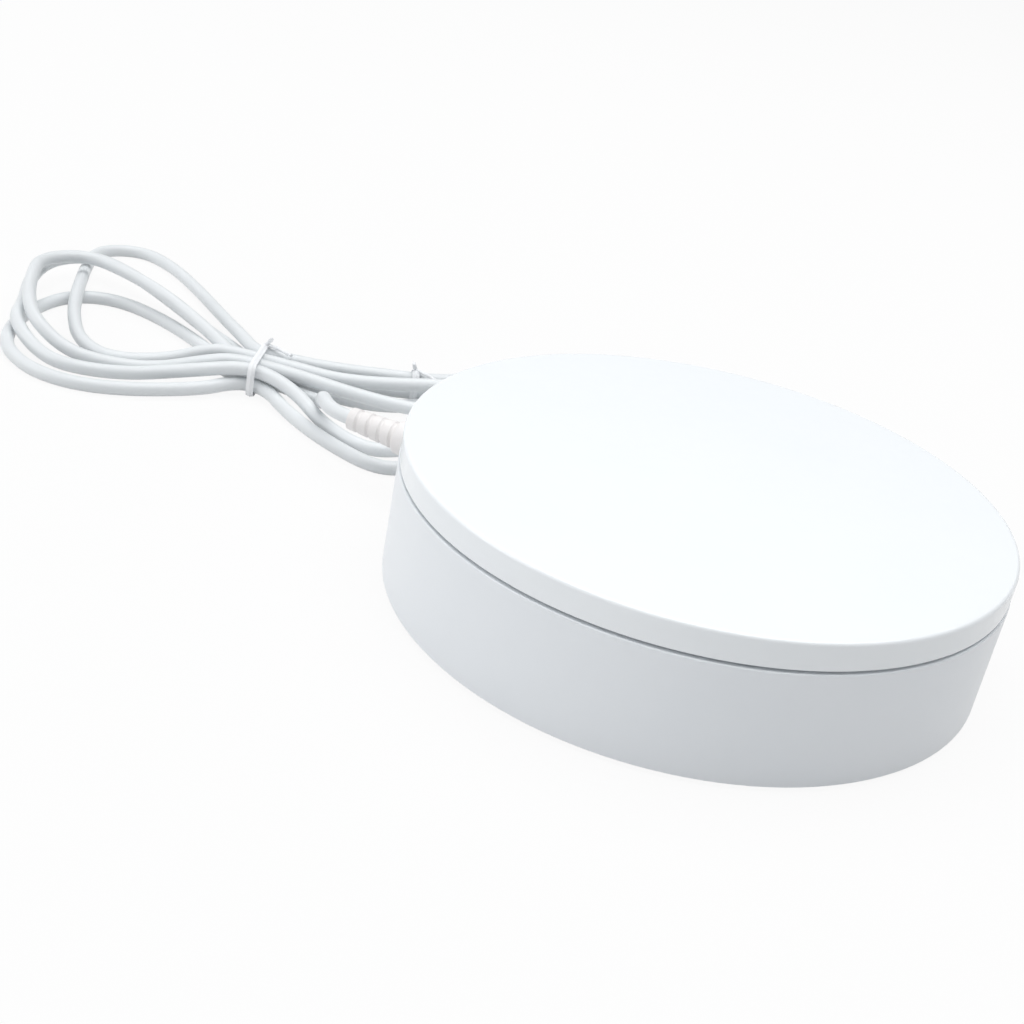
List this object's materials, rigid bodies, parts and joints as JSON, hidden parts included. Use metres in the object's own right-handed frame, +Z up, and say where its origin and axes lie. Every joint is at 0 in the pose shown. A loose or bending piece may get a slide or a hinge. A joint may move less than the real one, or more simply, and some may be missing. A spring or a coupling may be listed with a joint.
{
  "type": "rotating display turntable",
  "caption": "Low round motor-driven turntable: a white skirted plate turns on a drum with a geared motor inside, fed by a tied white lead with a barrel plug and a USB plug.",
  "frame": {"origin": "on the plate's axis, at the plane on which the feet and the lead stand", "axes": "+Z up along the plate's axis; -Y faces the viewer of the picture; the lead lies to -X"},
  "size_m": [0.2968, 0.2216, 0.0362],
  "materials": {
    "shell_white": "satin white moulding",
    "plate_white": "glossy white moulding",
    "cord_white": "satin white cable jacket",
    "plug_white": "satin white overmoulding",
    "tie_white": "plastic-covered wire",
    "foot_rubber": "matt dark rubber",
    "steel": "zinc plated steel",
    "bearing_steel": "polished steel",
    "brass_bush": "turned brass",
    "contact_metal": "nickel plated",
    "gear_plastic": "natural acetal",
    "dark_plastic": "matt black",
    "board_green": "solder mask",
    "washer_plastic": "natural nylon",
    "wire_jacket": "red insulated wire",
    "capacitor_case": "sleeved aluminium can",
    "switch_case": "pressed steel"
  },
  "bodies": {
    "base": {"base_shell": "shell_white", "bottom_cover": "shell_white", "cover_screws": "steel", "rubber_feet": "foot_rubber", "spindle_bush": "brass_bush", "thrust_washer": "washer_plastic", "lower_race": "gear_plastic", "gearmotor": "steel", "motor_screws": "steel", "circuit_board": "board_green", "board_screws": "steel", "driver_chip": "dark_plastic", "capacitor": "capacitor_case", "motor_connector": "washer_plastic", "motor_leads": "wire_jacket", "dc_jack": "dark_plastic", "slide_switch": "switch_case", "dc_plug": "plug_white", "dc_plug_barrel": "contact_metal", "cord_lead": "cord_white", "cord_hank": "cord_white", "cord_tail": "cord_white", "cord_tie_near": "tie_white", "cord_tie_far": "tie_white", "usb_plug_grip": "plug_white", "usb_plug_shell": "contact_metal", "usb_plug_tongue": "washer_plastic"},
    "rotor": {"turn_plate": "plate_white", "drive_gear": "gear_plastic", "gear_screws": "steel", "spindle": "steel", "plate_screws": "steel", "upper_race": "gear_plastic", "retaining_washer": "washer_plastic", "retaining_clip": "steel"},
    "pinion_shaft": {"motor_shaft": "steel", "pinion": "gear_plastic"},
    "ball_set": {"ball_cage": "washer_plastic", "bearing_balls": "bearing_steel"},
    "switch_slider": {"switch_lever": "dark_plastic"}
  },
  "joints": [
    {"name": "plate_spin", "type": "hinge", "parent": "base", "child": "rotor", "pos_m": [0, 0, 0], "axis": [0, 0, 1], "continuous": true},
    {"name": "pinion_spin", "type": "hinge", "parent": "base", "child": "pinion_shaft", "pos_m": [0.03048, -0.0176, 0], "axis": [0, 0, 1], "continuous": true},
    {"name": "cage_spin", "type": "hinge", "parent": "base", "child": "ball_set", "pos_m": [0, 0, 0], "axis": [0, 0, 1], "continuous": true},
    {"name": "switch_slide", "type": "slide", "parent": "base", "child": "switch_slider", "axis": [-0.2588, -0.9659, 0], "range_m": [-0.0015, 0.0015]}
  ],
  "couplings": [
    {"joint": "pinion_spin", "follows": "plate_spin", "ratio": -4.5},
    {"joint": "cage_spin", "follows": "plate_spin", "ratio": 0.5}
  ]
}
